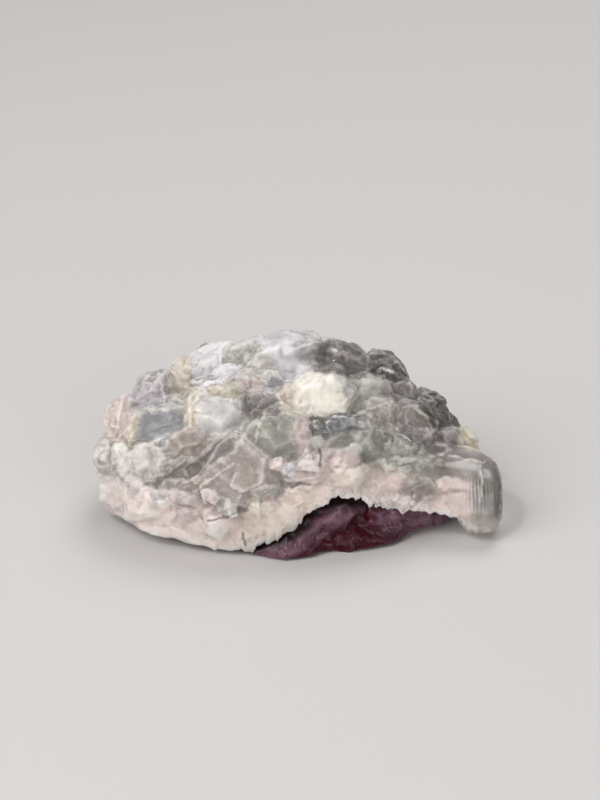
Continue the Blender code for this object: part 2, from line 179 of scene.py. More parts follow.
# Flakes and sharp corners that catch the light: x, y, radius in pixels, turn, habit, tone.
DISPLAY_CHIPS = (
    (309, 460, 11, 0, "tooth", "pink"),
    (317, 441, 7, 60, "flake", "haze"),
    (255, 449, 7, 25, "flake", "pink"),
    (276, 464, 8, 80, "flake", "pink"),
    (289, 471, 8, 35, "flake", "lavender"),
    (261, 488, 8, 5, "flake", "cream"),
    (253, 502, 7, 55, "flake", "cream"),
    (268, 499, 7, 15, "flake", "pink"),
    (209, 498, 10, 40, "flake", "pink"),
    (223, 506, 10, 75, "flake", "haze"),
    (212, 515, 9, 20, "flake", "pink"),
    (231, 511, 8, 65, "flake", "milk"),
    (338, 464, 8, 35, "flake", "pink"),
    (354, 451, 8, 22, "flake", "milk"),
    (403, 443, 9, 14, "flake", "milk"),
    (413, 447, 6, 77, "tooth", "milk"),
    (140, 508, 8, 33, "flake", "milk"),
    (158, 499, 9, 12, "flake", "haze"),
    (170, 512, 7, 70, "flake", "pink"),
)

# Thin bright edges of the display side, raised a little and given a painted highlight, and cracks, cut in and
# darkened with painted shade, as lines through pixels of the frame.
GLEAMS = (
    ((136, 410), (150, 408), (166, 410), (184, 406)),
    ((117, 440), (122, 433), (130, 426)),
    ((315, 337), (333, 340), (350, 345), (369, 356)),
    ((397, 362), (405, 370), (412, 389)),
    ((408, 404), (418, 411), (428, 417), (439, 423)),
    ((297, 404), (303, 390), (318, 379), (338, 375), (345, 378), (344, 384)),
    ((201, 486), (214, 477), (232, 464)),
    ((158, 374), (163, 390), (165, 404)),
    ((430, 456), (448, 455), (466, 459), (484, 462)),
    ((256, 441), (259, 424), (266, 414), (288, 413)),
    ((190, 428), (190, 410), (198, 396), (206, 392)),
    ((129, 446), (141, 446), (160, 439)),
    ((153, 477), (168, 473), (184, 460)),
    ((432, 424), (433, 430), (430, 434)),
    ((381, 369), (388, 370), (394, 373)),
    ((502, 476), (502, 496), (499, 516)),
    ((480, 464), (482, 480), (480, 502)),
)
CRACKS = (
    ((190, 386), (199, 384), (205, 380), (218, 377)),
    ((196, 379), (204, 378), (212, 375)),
    ((208, 521), (217, 519), (227, 517), (236, 513)),
    ((243, 533), (244, 539), (245, 545)),
    ((292, 487), (300, 484), (309, 484)),
    ((320, 450), (321, 459), (320, 466)),
    ((385, 432), (392, 437), (393, 442)),
    ((411, 436), (412, 442), (412, 446)),
)

# The edge of the arch, along which a glow is painted as a highlight, and the sugary, frosty places above it.
RIM = (
    ((246, 546), (262, 544), (285, 536), (305, 522), (322, 506), (335, 498), (352, 496), (366, 500)),
    ((428, 509), (445, 514), (462, 522), (476, 530), (488, 531)),
)
FROST = (
    ((372, 503), (392, 503), (414, 504)),
    ((338, 492), (350, 492)),
)

# The smooth, calm faces of the display side: x, y and radius in pixels.
SMOOTH_FACES = (
    (278, 434, 20), (243, 468, 26), (185, 443, 18), (158, 425, 20), (217, 420, 17), (288, 358, 18),
    (366, 441, 14), (148, 461, 14), (218, 450, 13), (321, 402, 16), (118, 421, 11), (393, 391, 12),
)

# The lobe's striated corner, and a grey spot in the pale band: x, y and two radii in pixels.
STRIATED_SPOT = (477, 496, 11, 16)
GREY_SPOT = (419, 488, 17, 9)

# In millimetres: where the lobe begins along x and ends along y, where the smooth broken band ends along y,
# and the band's height at places along the front.
LOBE_X = (31, 39)
LOBE_Y = (-6, 1)
BAND_Y = (-20, -12)
BAND_PLACES = (-45, -36, -20, -8, 0, 10, 20, 32)
BAND_HEIGHTS = (13, 11, 7.5, 9.5, 15.5, 19, 17, 13)

# The purple base in the frame, in pixels: where the painted shadow in the dark recess under the arch widens
# and ends, the corner by which the paler left side lies, and where the paler right side begins and ends. The
# pale tip's stretch is in millimetres, as x. The gap under the crust is measured up to the widest one.
RECESS_WIDENS_X = (318, 336)
RECESS_ENDS_X = (364, 376)
SIDE_CORNER = (350, 515)
RIGHT_SIDE_X = (366, 392)
RIGHT_SIDE_Y = (520, 540)
TIP_X = (14, 34)
WIDEST_GAP = 4 * MM

# Tones of the marks on the pale fluorite. The bright ridge, swell, gleam and rim tones are painted
# highlights, and the dark crevice, cavity and crack tones painted shade.
MARKS = {
    "cloud": (0.70, 0.68, 0.66),
    "fibre": (0.94, 0.92, 0.89),
    "fibre shade": (0.20, 0.19, 0.18),
    "thread": (0.92, 0.89, 0.84),
    "step": (0.95, 0.93, 0.88),
    "step shade": (0.17, 0.16, 0.15),
    "hem": (0.95, 0.90, 0.80),
    "border line": (0.96, 0.93, 0.87),
    "vein": (0.97, 0.95, 0.91),
    "vein shade": (0.14, 0.13, 0.12),
    "grain": (0.99, 0.98, 0.96),
    "band rose": (0.95, 0.79, 0.76),
    "band peach": (0.99, 0.88, 0.80),
    "band grey": (0.66, 0.62, 0.60),
    "rim": (0.98, 0.94, 0.89),
    "frost": (0.99, 0.97, 0.96),
    "frost shade": (0.42, 0.36, 0.35),
    "cavity": (0.20, 0.19, 0.17),
    "swell": (0.95, 0.93, 0.90),
    "ridge": (0.98, 0.96, 0.92),
    "crevice": (0.16, 0.15, 0.14),
    "gleam": (0.97, 0.93, 0.86),
    "crack": (0.09, 0.085, 0.08),
    "stria": (0.92, 0.90, 0.88),
    "stria shade": (0.10, 0.10, 0.10),
    "glass": (1.0, 1.0, 1.0),
}

# Tones of the purple base. The ridge and speck tones are painted highlights, the crevice tone painted shade,
# and the recess tone a painted shadow under the arch.
PURPLES = {
    "wine": (0.050, 0.002, 0.005),
    "plum": (0.040, 0.005, 0.013),
    "side": (0.155, 0.078, 0.108),
    "wisp": (0.13, 0.060, 0.09),
    "tip": (0.20, 0.12, 0.15),
    "ridge": (0.28, 0.18, 0.24),
    "speck": (0.34, 0.24, 0.30),
    "crevice": (0.012, 0.002, 0.006),
    "recess": (0.006, 0.001, 0.002),
}

FLUORITE_IOR = 1.434
VOLUME_TONE = (0.82, 0.84, 0.83)
VOLUME_DENSITY = 25.0
BUMP_HEIGHT = 0.3 * MM

# The studio: the floor, the world's light, and each light's name, place in metres, size, power in watts and
# colour.
FLOOR_TONE = (0.50, 0.495, 0.49)
FLOOR_ROUGHNESS = 0.75
FLOOR_SIZE = 14.0
FLOOR_DROP = 0.05 * MM
WORLD_TONE = (0.78, 0.745, 0.74)
WORLD_STRENGTH = 0.38
LIGHTS = (
    ("key", (-0.65, -0.5, 0.65), 0.9, 8.4, (1.0, 0.95, 0.925)),
    ("fill", (0.4, -0.8, 0.35), 0.7, 3.1, (1.0, 0.965, 0.955)),
    ("back", (0.25, 0.55, 0.9), 0.7, 5.8, (1.0, 1.0, 1.0)),
    ("glint", (-0.35, -0.45, 0.75), 0.1, 1.5, (1.0, 1.0, 1.0)),
)
LIGHTS_AIM = Vector((0, 0, 0.015))

# The master crystals: how many of each habit.
MASTER_COUNTS = {"dome": 7, "pyramid": 7, "slab": 5, "flake": 5, "tooth": 3}

# The seeded crystals: how many, and their least and largest radius in millimetres. They stay off what faces
# the display side, above a height, and apart from each other.
LARGE_FILL = 130
LARGE_RADIUS = (3.4, 5.6)
SMALL_FILL = 60
SMALL_RADIUS = (1.0, 2.0)
FACES_DISPLAY = -0.3
FILL_ABOVE = 8 * MM
FILL_SPACING = 4.2 * MM

# The sugary patch on the right of the arch's edge: its chips, their radii in millimetres, its place.
SUGAR_CHIPS = 90
SUGAR_RADIUS = (0.4, 0.8)
SUGAR_X = (368, 430)
SUGAR_Y = (495, 512)

# The random lumps of the purple base's other sides.
PURPLE_FILL = 70
PURPLE_RADIUS = (2.6, 4.6)

# A crystal grows along its face's own direction and this much more straight out of the dome.
OUT_OF_DOME = 1.2

# The crystals run on under their neighbours: their bodies are this much wider and deeper than what shows.
WIDEN = 1.45
DEEPEN = 1.15

# How far the skin between the crystals lies behind the plain crust, between which heights in millimetres
# that begins, and the share that is kept of what stands above the CAD part's top.
SUNK = 0.4 * MM
SUNK_ABOVE = (6, 10)
ABOVE_TOP = 0.25

# In millimetres: how far a display crystal's upper edge stands out before the crystal behind it, how far a
# bright edge stands out, and how deep a crack is. A crack's width is in pixels.
SHINGLE = 0.32
GLEAM_RISE = 0.08
CRACK_DEPTH = 0.3
CRACK_WIDTH = 1.8

# The steps of the arch's broken edge: width in pixels, height in millimetres, salt of the random numbers.
JAG_STEPS = ((12.0, 0.5, 2), (5.2, 0.5, 3), (2.7, 0.15, 4))

# How sharply the tones of two crystals part, and how many half-widths from a crystal its tone still counts.
TONE_CRISPNESS = 9
TONE_REACH = 2.6

# Rounds of averaging that leave only a surface's broad shape, and that take off only its fine edges.
BROAD_ROUNDS = 14
FINE_ROUNDS = 2

# Heights in millimetres at which edges and creases, swells and hollows show in full, in the painted
# highlights and painted shade.
CRUST_RIDGE = 0.10
PURPLE_RIDGE = 0.12
SWELL_HEIGHT = 0.7
CAVITY_DEPTH = 0.5

BASE_VOXEL = 0.45 * MM
CRUST_VOXEL = 0.32 * MM
PURPLE_VOXEL = 0.36 * MM
MOST_TRIANGLES = 190000

# Loose triangles are joined at this distance, and edges shorter than the second one count as no length.
MERGE_DISTANCE = 0.003 * MM
NO_LENGTH = 0.0001 * MM

# A crystal with a smaller radius than this keeps its own tone among the display side's tones.
CHIP_RADIUS = 2.5 * MM

# Points that are handled at a time.
BLOCK = 10000


def deselect_all():
    for obj in bpy.context.selected_objects:
        obj.select_set(False)


def choose(obj):
    deselect_all()
    obj.select_set(True)
    bpy.context.view_layer.objects.active = obj


def apply_modifier(obj, name, kind, **settings):
    choose(obj)
    modifier = obj.modifiers.new(name, kind)
    for key, value in settings.items():
        setattr(modifier, key, value)
    bpy.ops.object.modifier_apply(modifier=modifier.name)


def unit(*values):
    return Vector(values).normalized()


def smoothstep(low, high, value):
    share = np.clip((value - low) / (high - low), 0, 1)
    return share * share * (3 - 2 * share)


def cut_crystal(name, planes):
    """A crystal of unit radius: a cube cut by planes, each a direction and a distance from the middle."""
    deselect_all()
    bpy.ops.mesh.primitive_cube_add(size=2.4)
    crystal = bpy.context.object
    crystal.name = name
    bpy.ops.object.mode_set(mode="EDIT")
    for direction, distance in planes:
        bpy.ops.mesh.select_all(action="SELECT")
        bpy.ops.mesh.bisect(
            plane_co=direction * distance, plane_no=direction, use_fill=True, clear_outer=True
        )
    bpy.ops.mesh.select_all(action="SELECT")
    bpy.ops.mesh.normals_make_consistent(inside=False)
    bpy.ops.object.mode_set(mode="OBJECT")
    return crystal


def uneven(directions, distance, spread, tilt, rng):
    """The planes of a natural crystal: each at its own distance, a few degrees off the ideal direction."""
    planes = []
    for direction in directions:
        off = Vector([rng.uniform(-tilt, tilt) for _ in range(3)])
        planes.append(((direction + off).normalized(), distance * rng.uniform(1 - spread, 1 + spread)))
    return planes


def scattered(count, rng):
    """Directions spread evenly over a ball, from a random start."""
    start = rng.uniform(0, math.tau)
    found = []
    for number in range(count):
        z = 1 - (2 * number + 1) / count
        turn = start + number * math.pi * (3 - math.sqrt(5))
        found.append(unit(math.cos(turn) * math.sqrt(1 - z * z), math.sin(turn) * math.sqrt(1 - z * z), z))
    spin = Matrix.Rotation(rng.uniform(0, math.tau), 3, unit(rng.uniform(-1, 1), rng.uniform(-1, 1), 1))
    return [spin @ direction for direction in found]


def habit_planes(habit, rng):
    """The cutting planes of one crystal of a habit. Its own Z points out of the crust."""
    if habit == "dome":
        return uneven(scattered(18, rng), 0.91, 0.07, 0.2, rng)
    if habit == "pyramid":
        return uneven(scattered(12, rng), 0.87, 0.08, 0.2, rng)
    if habit == "slab":
        face = [unit(rng.uniform(-0.3, 0.3), rng.uniform(-0.3, 0.3), 1)]
        return uneven(face, 0.74, 0.06, 0.0, rng) + uneven(scattered(18, rng), 0.94, 0.06, 0.2, rng)
    if habit == "flake":
        sides = [unit(math.cos(turn), math.sin(turn), 0.3) for turn in (0.0, 1.1, 2.5, 3.5, 5.1)]
        return [(unit(0.15, 0.1, 1), 0.12), (unit(0.1, 0.2, -1), 0.4)] + uneven(sides, 0.7, 0.35, 0.15, rng)
    sides = [unit(math.cos(turn), math.sin(turn), 0.42) for turn in (0.4, 2.5, 4.6)]
    return uneven(sides, 0.36, 0.12, 0.1, rng) + [(unit(0, 0, -1), 0.8), (unit(0.2, 0.3, 1), 0.85)]


def master_crystals():
    """The crystals that are copied, by habit."""
    rng = random.Random(3)
    masters = {}
    for habit, count in MASTER_COUNTS.items():
        names = [f"{habit}_{number}" for number in range(count)]
        masters[habit] = [cut_crystal(name, habit_planes(habit, rng)) for name in names]
    return masters


class Crystal:
    """One crystal as it stands: habit, middle, radii and turn, the tones of heart and edge, clearness. One
    without tones only gives its shape."""

    def __init__(self, habit, middle, radii, turn, heart=None, edge=None, clear=0.0):
        self.habit = habit
        self.middle = middle
        self.radii = Vector(radii)
        self.turn = turn
        self.heart = heart
        self.edge = edge
        self.clear = clear


def stance(facing, sideways, turn):
    """The turn that points a crystal's own Z along facing, with its X as near sideways as that allows."""
    across = (sideways - facing * sideways.dot(facing)).normalized()
    upright = facing.cross(across)
    return Matrix((across, upright, facing)).transposed() @ Matrix.Rotation(turn, 3, "Z")


def lean(direction, most, rng):
    return (direction + Vector([rng.uniform(-most, most) for _ in range(3)])).normalized()


def place_copy(master, crystal):
    copy = master.copy()
    copy.data = master.data.copy()
    place = Matrix.Translation(crystal.middle) @ crystal.turn.to_4x4()
    copy.data.transform(place @ Matrix.Diagonal(crystal.radii).to_4x4())
    bpy.context.scene.collection.objects.link(copy)
    return copy


def frame_point(x, y):
    """The point of the true-size plane that shows at a pixel of the frame."""
    across = FRAME_MIDDLE[0] * MM + (x - FRAME_WIDTH / 2) * MM_PER_PIXEL * MM
    up = FRAME_MIDDLE[1] * MM + (FRAME_HEIGHT / 2 - y) * MM_PER_PIXEL * MM
    return TRUE_PLANE + VIEW_RIGHT * across + VIEW_UP * up


def frame_pixels(points):
    """The pixels of the frame at which points show."""
    away = points - np.array(CAMERA_PLACE)
    depth = away @ np.array(LOOK)
    scale = CAMERA_DISTANCE / depth / (MM_PER_PIXEL * MM)
    x = FRAME_WIDTH / 2 + (away @ np.array(VIEW_RIGHT)) * scale
    y = FRAME_HEIGHT / 2 - (away @ np.array(VIEW_UP)) * scale
    return x, y


def display_hit(node, x, y):
    """Where the line of sight through a pixel meets a node, and the face's direction there."""
    direction = (frame_point(x, y) - CAMERA_PLACE).normalized()
    found, point, normal, _ = node.ray_cast(CAMERA_PLACE, direction)
    return (point, normal) if found else (None, None)


def merged_copy(node, name):
    """A copy of a CAD node whose loose triangles are joined."""
    copy = node.copy()
    copy.data = node.data.copy()
    copy.name = name
    copy.data.name = name
    copy.parent = None
    for key in list(copy.keys()):
        del copy[key]
    bpy.context.scene.collection.objects.link(copy)
    mesh = bmesh.new()
    mesh.from_mesh(copy.data)
    bmesh.ops.remove_doubles(mesh, verts=mesh.verts, dist=MERGE_DISTANCE)
    mesh.to_mesh(copy.data)
    mesh.free()
    return copy


def random_points(obj, count, rng, keep):
    """Points spread over the faces that keep accepts, with the faces' normals."""
    mesh = obj.data
    mesh.calc_loop_triangles()
    triangles = [t for t in mesh.loop_triangles if keep(t)]
    areas = np.cumsum([t.area for t in triangles])
    found = []
    for _ in range(count):
        pick = triangles[int(np.searchsorted(areas, rng.random() * areas[-1]))]
        a, b, c = (mesh.vertices[i].co for i in pick.vertices)
        s = math.sqrt(rng.random())
        t = rng.random()
        found.append((a * (1 - s) + b * (s * (1 - t)) + c * (s * t), pick.normal.copy()))
    return found


def outward(point, normal):
    """The way a crystal grows at a point: between the face's own direction and straight out of the dome."""
    return (normal + OUT_OF_DOME * (point - HEART).normalized()).normalized()


def display_crystals(crust):
    """The crystals and chips of the display side, as the tables give them."""
    rng = random.Random(19)
    planned = []
    pixel = MM_PER_PIXEL * MM
    for x, y, half_width, half_height, turn, proud, habit, heart, edge, clear in DISPLAY_CRYSTALS:
        point, normal = display_hit(crust, x, y)
        if point is None:
            continue
        facing = lean(outward(point, normal) - 0.5 * LOOK, 0.1, rng)
        depth = 0.5 * (half_width + half_height) * pixel * DEEPEN
        radii = (half_width * pixel * WIDEN, half_height * pixel * WIDEN, depth)
        middle = point + LOOK * depth * (0.95 - 0.5 * proud) / max(0.5, -facing.dot(LOOK))
        turn = stance(facing, VIEW_RIGHT, math.radians(turn))
        planned.append(Crystal(habit, middle, radii, turn, heart, edge, clear))
    for x, y, radius, turn, habit, tone in DISPLAY_CHIPS:
        point, normal = display_hit(crust, x, y)
        if point is None:
            continue
        if habit == "tooth":
            facing = lean(VIEW_UP - 0.4 * LOOK, 0.15, rng)
        else:
            facing = lean(outward(point, normal) - 0.4 * LOOK, 0.3, rng)
        size = radius * pixel
        middle = point + (-0.1 if habit == "tooth" else 0.5) * size * LOOK
        turn = stance(facing, VIEW_RIGHT, math.radians(turn))
        planned.append(Crystal(habit, middle, (size, size, size), turn, tone, tone))
    return planned


def fill_crystals(crust):
    """The crystals of the other sides, large ones and then small ones."""
    rng = random.Random(29)
    planned = []

    def grown(triangle):
        return triangle.normal.z > -0.3 and triangle.center.z > FILL_ABOVE

    for point, normal in random_points(crust, LARGE_FILL, rng, grown):
        facing = outward(point, normal)
        near = any((point - other.middle).length < FILL_SPACING for other in planned)
        if near or facing.dot(LOOK) < FACES_DISPLAY:
            continue
        size = rng.uniform(*LARGE_RADIUS) * MM
        radii = (size * rng.uniform(1.1, 1.5), size * rng.uniform(0.95, 1.2), size)
        deep = rng.uniform(0.62, 0.85) + (0.15 if facing.dot(LOOK) < 0.3 else 0)
        habit = rng.choice(("dome", "dome", "pyramid", "slab"))
        heart, edge, clear = rng.choice(FILL_TONES)
        turn = stance(lean(facing, 0.25, rng), VIEW_RIGHT, rng.uniform(0, math.tau))
        planned.append(Crystal(habit, point - facing * size * deep, radii, turn, heart, edge, clear))
    for point, normal in random_points(crust, SMALL_FILL, rng, grown):
        facing = outward(point, normal)
        if facing.dot(LOOK) < FACES_DISPLAY:
            continue
        size = rng.uniform(*SMALL_RADIUS) * MM
        middle = point - facing * size * rng.uniform(0.1, 0.5)
        heart, edge, clear = rng.choice(FILL_TONES)
        turn = stance(lean(facing, 0.6, rng), VIEW_RIGHT, rng.uniform(0, math.tau))
        planned.append(Crystal("flake", middle, (size, size, size), turn, heart, edge, clear))
    return planned


def sugar_chips(crust):
    """The chips of the sugary patch."""
    rng = random.Random(37)
    chips = []
    for _ in range(SUGAR_CHIPS):
        point, normal = display_hit(crust, rng.uniform(*SUGAR_X), rng.uniform(*SUGAR_Y))
        if point is None:
            continue
        size = rng.uniform(*SUGAR_RADIUS) * MM
        turn = stance(lean(normal, 1.0, rng), VIEW_RIGHT, rng.uniform(0, math.tau))
        chips.append(Crystal("flake", point, (size, size, size), turn))
    return chips


def join(objects, name):
    deselect_all()
    for obj in objects:
        obj.select_set(True)
    bpy.context.view_layer.objects.active = objects[0]
    bpy.ops.object.join()
    joined = bpy.context.object
    joined.name = name
    return joined


def fuse(body, crystals, name, rng, voxel, rounds):
    """A body and its crystals, each a copy of one of its habit's masters, as one closed surface."""
    masters = master_crystals()
    pieces = [body] + [place_copy(rng.choice(masters[crystal.habit]), crystal) for crystal in crystals]
    fused = join(pieces, name)
    for habit in masters.values():
        for master in habit:
            bpy.data.objects.remove(master, do_unlink=True)
    apply_modifier(fused, "fuse", "REMESH", mode="VOXEL", voxel_size=voxel)
    apply_modifier(fused, "soften", "SMOOTH", factor=0.5, iterations=rounds)
    return fused


def read_points(mesh):
    points = np.empty(len(mesh.vertices) * 3)
    mesh.vertices.foreach_get("co", points)
    return points.reshape(-1, 3)


def read_normals(mesh):
    normals = np.empty(len(mesh.vertices) * 3)
    mesh.vertex_normals.foreach_get("vector", normals)
    return normals.reshape(-1, 3)


def write_points(mesh, points):
    mesh.vertices.foreach_set("co", points.ravel())
    mesh.update()


def neighbour_mean(mesh, values):
    """The mean of each vertex's neighbours, over the mesh's edges."""
    ends = np.empty(len(mesh.edges) * 2, np.int64)
    mesh.edges.foreach_get("vertices", ends)
    first, second = ends.reshape(-1, 2).T
    total = np.zeros_like(values)
    count = np.zeros(len(values))
    np.add.at(total, first, values[second])
    np.add.at(total, second, values[first])
    np.add.at(count, first, 1)
    np.add.at(count, second, 1)
    count = np.maximum(count, 1)
    return total / (count[:, None] if values.ndim == 2 else count)


def owners(points, crystals):
    """For each point: the crystal it belongs to, its place in that crystal, the lead over the next one."""
    inward = np.array([np.diag([1 / r for r in c.radii]) @ np.array(c.turn).T for c in crystals])
    middles = np.array([tuple(c.middle) for c in crystals])
    nearest = np.empty(len(points), np.int64)
    lead = np.empty(len(points))
    local = np.empty((len(points), 3))
    for start in range(0, len(points), BLOCK):
        block = points[start:start + BLOCK]
        inside = np.einsum("kij,nkj->nki", inward, block[:, None, :] - middles[None, :, :])
        away = np.linalg.norm(inside, axis=2)
        two = np.argpartition(away, 1, axis=1)[:, :2]
        rows = np.arange(len(block))
        a = away[rows, two[:, 0]]
        b = away[rows, two[:, 1]]
        own = np.where(a <= b, two[:, 0], two[:, 1])
        nearest[start:start + BLOCK] = own
        lead[start:start + BLOCK] = np.abs(a - b)
        local[start:start + BLOCK] = inside[rows, own]
    return nearest, local, lead


def hashed(cells, salt):
    """Repeatable random numbers from -1 to 1, three for each row of whole numbers."""
    key = np.full(len(cells), salt, np.uint64)
    for column in cells.T:
        key = (key ^ column.astype(np.uint64)) * np.uint64(0x9E3779B97F4A7C15)
        key ^= key >> np.uint64(29)
    found = []
    for _ in range(3):
        key = key * np.uint64(0xBF58476D1CE4E5B9) + np.uint64(12345)
        key ^= key >> np.uint64(31)
        found.append((key >> np.uint64(11)).astype(float) / 2 ** 52 - 1)
    return np.array(found).T


def flake_relief(mesh, crystals, cell, tilt, salt, calm):
    """Small flat flakes: each bit of a crystal's skin tilts its own way, with ledges where two bits meet."""
    points = read_points(mesh)
    nearest, local, _ = owners(points, crystals)
    radii = np.array([tuple(c.radii) for c in crystals])[nearest]
    size = np.array(cell) * MM
    place = local * radii / size
    home = np.floor(place).astype(np.int64)
    best = np.full(len(points), 1e9)
    offset = np.zeros((len(points), 3))
    lean_of = np.zeros((len(points), 3))
    for step in np.ndindex(3, 3, 3):
        box = home + np.array(step) - 1
        key = np.column_stack((box, nearest))
        middle = box + 0.5 + 0.45 * hashed(key, salt)
        away = place - middle
        far = np.einsum("ni,ni->n", away, away)
        nearer = far < best
        best[nearer] = far[nearer]
        offset[nearer] = away[nearer]
        lean_of[nearer] = hashed(key, salt + 7)[nearer]
    rise = np.einsum("ni,ni->n", offset * size, lean_of) * tilt
    write_points(mesh, points + read_normals(mesh) * (rise * (1 - calm(points)))[:, None])


def broad_normals(mesh):
    """The vertices' normals without the small relief."""
    normals = read_normals(mesh)
    for _ in range(BROAD_ROUNDS):
        normals = neighbour_mean(mesh, normals)
    return normals / np.maximum(np.linalg.norm(normals, axis=1), 1e-6)[:, None]


def relax(mesh, rounds):
    """Smoothing of each vertex half-way towards its neighbours."""
    points = read_points(mesh)
    for _ in range(rounds):
        points = points + (neighbour_mean(mesh, points) - points) * 0.5
    write_points(mesh, points)


def line_share(x, y, lines, half_width):
    """1 on the lines, falling to 0 at half_width pixels from them. The lines tremble a little."""
    x = x + 0.5 * np.sin(0.45 * y + 0.2 * x) + 0.25 * np.sin(1.1 * y)
    y = y + 0.5 * np.sin(0.4 * x + 1.0) + 0.25 * np.sin(1.3 * x)
    best = np.full(len(x), 1e9)
    for line in lines:
        for (x0, y0), (x1, y1) in zip(line, line[1:]):
            span = np.array((x1 - x0, y1 - y0), float)
            along = np.clip(((x - x0) * span[0] + (y - y0) * span[1]) / (span @ span), 0, 1)
            best = np.minimum(best, np.hypot(x - x0 - along * span[0], y - y0 - along * span[1]))
    return 1 - smoothstep(0.25 * half_width, half_width, best)


def spot_share(x, y, spot):
    """1 in the middle of a spot of the frame, falling softly to 0."""
    middle_x, middle_y, half_width, half_height = spot
    return np.exp(-((x - middle_x) / half_width) ** 2 - ((y - middle_y) / half_height) ** 2)


def seen_share(points, normals):
    """1 where the surface faces the display side, 0 where it faces away."""
    return smoothstep(0.02, 0.2, -(normals @ np.array(LOOK)))


def lobe_share(points):
    """1 on the clear lobe and its shoulder, 0 elsewhere."""
    x, y, z = points.T / MM
    return smoothstep(*LOBE_X, x + 0.4 * (z - 6)) * (1 - smoothstep(*LOBE_Y, y))


def band_share(points):
    """1 on the smooth broken band above the front rim, 0 elsewhere."""
    x, y, z = points.T / MM
    height = np.interp(x, BAND_PLACES, BAND_HEIGHTS)
    return (1 - smoothstep(*BAND_Y, y)) * (1 - smoothstep(height - 1.5, height + 1.5, z))


def calm_share(points):
    """How much less broken a place is than the crystals: 1 on the lobe, less on the band."""
    return np.maximum(lobe_share(points), 0.3 * band_share(points))


def smooth_share(points):
    """1 in the middle of the smooth faces, 0 far from them."""
    x, y = frame_pixels(points)
    away = [((x - cx) ** 2 + (y - cy) ** 2) / radius ** 2 for cx, cy, radius in SMOOTH_FACES]
    return np.exp(-np.min(away, axis=0))


def unbroken_share(points):
    """Where no small flakes lie: on the lobe, on the smooth faces and in part on the band."""
    return np.maximum(calm_share(points), 0.9 * smooth_share(points))


def away_from_rim(points):
    """0 along the arch's edge, 1 elsewhere."""
    front = 1 - smoothstep(-18, -10, points[:, 1] / MM)
    return 1 - line_share(*frame_pixels(points), RIM[:1], 12.0) * front


def keep_main_part(obj):
    """The largest connected part of a mesh stays; bubbles inside it and faces without area go."""
    mesh = bmesh.new()
    mesh.from_mesh(obj.data)
    bmesh.ops.dissolve_degenerate(mesh, dist=NO_LENGTH, edges=mesh.edges)
    bmesh.ops.triangulate(mesh, faces=mesh.faces)
    left = set(mesh.verts)
    parts = []
    while left:
        part = {left.pop()}
        ends = list(part)
        while ends:
            vertex = ends.pop()
            for edge in vertex.link_edges:
                other = edge.other_vert(vertex)
                if other in left:
                    left.remove(other)
                    part.add(other)
                    ends.append(other)
        parts.append(part)
    parts.sort(key=len)
    bmesh.ops.delete(mesh, geom=[vertex for part in parts[:-1] for vertex in part], context="VERTS")
    mesh.to_mesh(obj.data)
    mesh.free()


def thin_out(obj, most):
    obj.data.calc_loop_triangles()
    count = len(obj.data.loop_triangles)
    if count > most:
        apply_modifier(obj, "thin_out", "DECIMATE", ratio=most / count)
    keep_main_part(obj)


def set_floats(mesh, **attributes):
    for name, values in attributes.items():
        attribute = mesh.attributes.new(name, "FLOAT", "POINT")
        attribute.data.foreach_set("value", values.astype(np.float32))


def set_vector(mesh, name, values):
    attribute = mesh.attributes.new(name, "FLOAT_VECTOR", "POINT")
    attribute.data.foreach_set("vector", values.astype(np.float32).ravel())


def set_colour(mesh, name, values):
    attribute = mesh.attributes.new(name, "FLOAT_COLOR", "POINT")
    rgba = np.ones((len(values), 4), np.float32)
    rgba[:, :3] = values
    attribute.data.foreach_set("color", rgba.ravel())


def ridges(mesh, rounds):
    """How far each vertex stands out of the surface around it, in millimetres; below 0 it lies in it."""
    points = read_points(mesh)
    normals = read_normals(mesh)
    mean = points
    for _ in range(rounds):
        mean = neighbour_mean(mesh, mean)
    return np.einsum("ni,ni->n", points - mean, normals) / MM


def jag(points):
    """How far the arch's broken edge stands up or down at each point, in millimetres: steps with teeth."""
    x, y = frame_pixels(points)
    teeth = np.zeros(len(x))
    for width, height, salt in JAG_STEPS:
        place = x / width
        first = np.floor(place)
        share = smoothstep(0.0, 0.35, place - first)
        low = hashed(np.column_stack((first, first)).astype(np.int64), salt)[:, 0]
        high = hashed(np.column_stack((first + 1, first + 1)).astype(np.int64), salt)[:, 0]
        teeth += height * (low * (1 - share) + high * share)
    front = 1 - smoothstep(-16, -8, points[:, 1] / MM)
    right = line_share(x, y, RIM[1:], 9.0) * 0.4
    return teeth * np.maximum(line_share(x, y, RIM[:1], 15.0), right) * front


def flatten_top(points, top):
    """Points above the CAD part's top keep only a share of what they stand out."""
    points[:, 2] = np.where(points[:, 2] > top, top + ABOVE_TOP * (points[:, 2] - top), points[:, 2])
    return points


